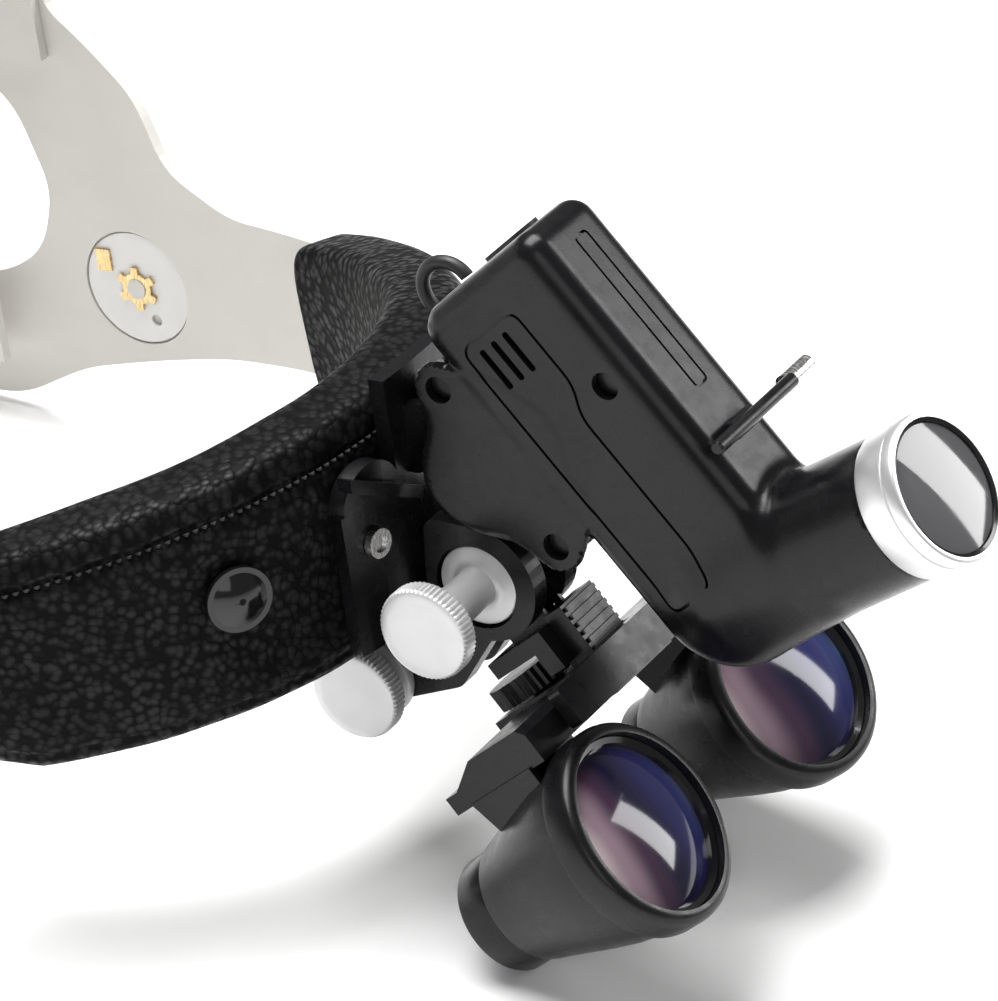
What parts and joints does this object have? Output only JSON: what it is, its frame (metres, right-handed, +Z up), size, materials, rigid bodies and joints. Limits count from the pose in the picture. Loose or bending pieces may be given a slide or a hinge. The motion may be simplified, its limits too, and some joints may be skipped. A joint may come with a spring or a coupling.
{
  "type": "dental loupes",
  "caption": "Head-worn dental loupes: a padded headband carrying adjustable magnifying barrels and a tilting cordless lamp above them.",
  "frame": {"origin": "middle of the footprint on the table the headset lies on", "axes": "+Y from the lamp toward the back of the head, +X toward the wearer's left, +Z up"},
  "size_m": [0.1606, 0.3376, 0.1579],
  "materials": {
    "white_shell": "fine satin moulding",
    "foam": "open foam",
    "black_leather": "pebbled grain",
    "black_gloss": "glossy",
    "black_plastic": "satin",
    "brass": "bright",
    "black_metal": "black anodised",
    "steel": "machined",
    "white_metal": "satin pearl",
    "white_plastic": "satin",
    "silver": "fine turned",
    "lens": "coated",
    "lamp_glass": "clear",
    "led": "phosphor",
    "cell_wrap": "shrink wrap",
    "board": "solder mask",
    "black_rubber": "matte"
  },
  "bodies": {
    "headband": {"headband_shell": "white_shell", "brow_pad": "foam", "leather_cover": "black_leather", "snap_buttons": "black_gloss", "side_caps": "white_shell", "star_washers": "brass", "washer_tabs": "brass", "pivot_discs": "white_plastic", "base_plate": "black_plastic", "base_rivets": "steel", "lamp_hinge_pin": "steel"},
    "crown_strap": {"top_strap": "white_shell", "strap_pegs": "white_shell"},
    "nape": {"nape_band": "white_shell", "nape_cover": "white_plastic", "nape_pad": "foam"},
    "ratchet": {"ratchet_knob": "black_plastic", "ratchet_pinion": "white_plastic"},
    "swing_arm": {"swing_arm": "black_metal", "upper_nut": "steel", "lower_nut": "steel"},
    "lower_screw": {"lower_thumbscrew": "white_metal"},
    "upper_screw": {"upper_thumbscrew": "white_metal"},
    "tilt": {"tilt_block": "black_metal"},
    "bridge": {"bridge": "black_metal", "guide_rods": "steel"},
    "wheel": {"spacing_wheel": "black_metal"},
    "right_loupe": {"carriage_right": "black_metal", "barrel_right": "black_metal", "bezel_right": "black_metal", "objective_right": "lens", "eyepiece_right": "black_plastic", "eye_lens_right": "lens"},
    "left_loupe": {"carriage_left": "black_metal", "barrel_left": "black_metal", "bezel_left": "black_metal", "objective_left": "lens", "eyepiece_left": "black_plastic", "eye_lens_left": "lens"},
    "lamp": {"lamp_body": "black_plastic", "lamp_cover": "black_plastic", "side_panel": "black_plastic", "lamp_screws": "black_metal", "lamp_bezel": "silver", "lamp_lens": "lamp_glass", "lamp_reflector": "silver", "heat_sink": "silver", "led_board": "led", "battery_cell": "cell_wrap", "circuit_board": "board", "charge_socket": "black_plastic", "filter_pin": "steel", "lamp_lead": "black_rubber"},
    "button": {"power_button": "black_rubber"},
    "filter": {"filter_clip": "black_metal"}
  },
  "joints": [
    {"name": "crown_height", "type": "slide", "parent": "headband", "child": "crown_strap", "axis": [0, 0.1736, 0.9848], "range_m": [-0.002, 0.006]},
    {"name": "nape_length", "type": "slide", "parent": "headband", "child": "nape", "axis": [0, 0.9848, -0.1736], "range_m": [-0.015, 0.012]},
    {"name": "ratchet_turn", "type": "hinge", "parent": "nape", "child": "ratchet", "pos_m": [0, 0.15281, 0.01576], "axis": [0, 0.9848, -0.1736], "range_deg": [-115, 92]},
    {"name": "arm_swing", "type": "hinge", "parent": "headband", "child": "swing_arm", "pos_m": [0, -0.05981, 0.0305], "axis": [1, 0, 0], "range_deg": [0, 40]},
    {"name": "lower_screw_turn", "type": "hinge", "parent": "swing_arm", "child": "lower_screw", "pos_m": [0, -0.05981, 0.0305], "axis": [1, 0, 0], "range_deg": [-180, 180]},
    {"name": "upper_screw_turn", "type": "hinge", "parent": "swing_arm", "child": "upper_screw", "pos_m": [0, -0.07881, 0.0546], "axis": [1, 0, 0], "range_deg": [-180, 180]},
    {"name": "loupe_tilt", "type": "hinge", "parent": "swing_arm", "child": "tilt", "pos_m": [0, -0.07881, 0.0546], "axis": [1, 0, 0], "range_deg": [-4, 9]},
    {"name": "loupe_height", "type": "slide", "parent": "tilt", "child": "bridge", "axis": [0, 0.7278, 0.6858], "range_m": [-0.006, 0]},
    {"name": "spacing_turn", "type": "hinge", "parent": "bridge", "child": "wheel", "pos_m": [0, -0.08861, 0.0356], "axis": [0, 0.7278, 0.6858], "range_deg": [-70, 105]},
    {"name": "right_spacing", "type": "slide", "parent": "bridge", "child": "right_loupe", "axis": [-1, 0, 0], "range_m": [-0.004, 0.006]},
    {"name": "left_spacing", "type": "slide", "parent": "bridge", "child": "left_loupe", "axis": [1, 0, 0], "range_m": [-0.004, 0.006]},
    {"name": "lamp_tilt", "type": "hinge", "parent": "headband", "child": "lamp", "pos_m": [0, -0.07831, 0.0854], "axis": [1, 0, 0], "range_deg": [-10, 5]},
    {"name": "button_press", "type": "slide", "parent": "lamp", "child": "button", "axis": [0, -0.7547, -0.6561], "range_m": [0, 0.0006], "stiffness_N_per_m": 900},
    {"name": "filter_flip", "type": "hinge", "parent": "lamp", "child": "filter", "pos_m": [0, -0.12365, 0.09797], "axis": [1, 0, 0], "range_deg": [-25, 60]}
  ],
  "couplings": [
    {"joint": "ratchet_turn", "follows": "nape_length", "rad_per_m": 133.33},
    {"joint": "spacing_turn", "follows": "right_spacing", "rad_per_m": 303.03},
    {"joint": "left_spacing", "follows": "right_spacing", "ratio": 1}
  ]
}
